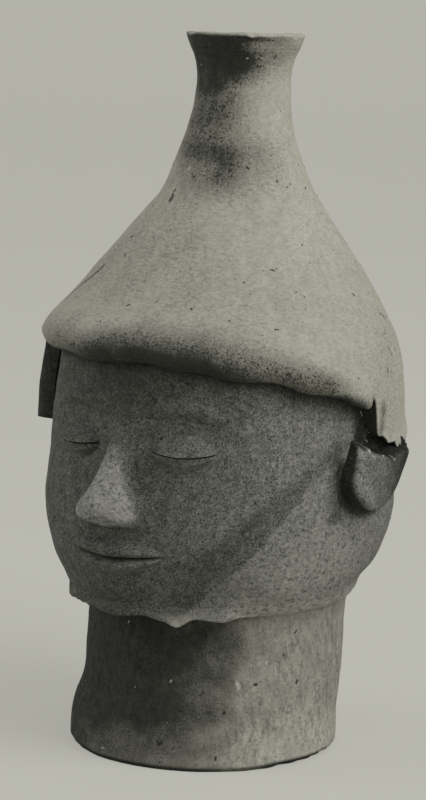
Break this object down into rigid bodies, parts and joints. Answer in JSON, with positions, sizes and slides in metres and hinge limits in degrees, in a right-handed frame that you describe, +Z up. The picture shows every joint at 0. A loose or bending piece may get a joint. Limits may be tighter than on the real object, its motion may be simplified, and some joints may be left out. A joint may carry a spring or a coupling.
{
  "type": "head-shaped vessel",
  "caption": "Hand-built earthenware bottle shaped as a human head: round neck as its foot, closed eyes, broken ears, conical cap with rolled brim and a flared spout.",
  "frame": {"origin": "middle of the flat underside of the foot", "axes": "+Z up towards the spout, -Y the way the face looks, +X the head's own left"},
  "size_m": [0.1707, 0.1721, 0.3],
  "materials": {
    "buff_clay": "unglazed low-fired clay, matt, pitted",
    "pale_clay": "unglazed low-fired clay, matt, pitted and scratched",
    "smoked_clay": "unglazed low-fired clay, darkened by smoke in patches",
    "face_clay": "unglazed low-fired clay, rubbed smooth, with fire clouds"
  },
  "bodies": {
    "root": {"floor_disc": "buff_clay", "floor_seam_coil": "buff_clay", "neck_wall": "smoked_clay", "head_wall": "face_clay", "cap_shell": "pale_clay", "brim_roll": "pale_clay", "back_hood": "pale_clay", "spout_wall": "pale_clay", "rim_coil": "pale_clay", "nose": "face_clay", "left_brow": "face_clay", "right_brow": "face_clay", "left_upper_lid": "face_clay", "right_upper_lid": "face_clay", "left_lower_lid": "face_clay", "right_lower_lid": "face_clay", "upper_lip": "face_clay", "lower_lip": "face_clay", "jaw_ledge": "face_clay", "left_ear": "face_clay", "right_ear": "face_clay"}
  },
  "joints": []
}
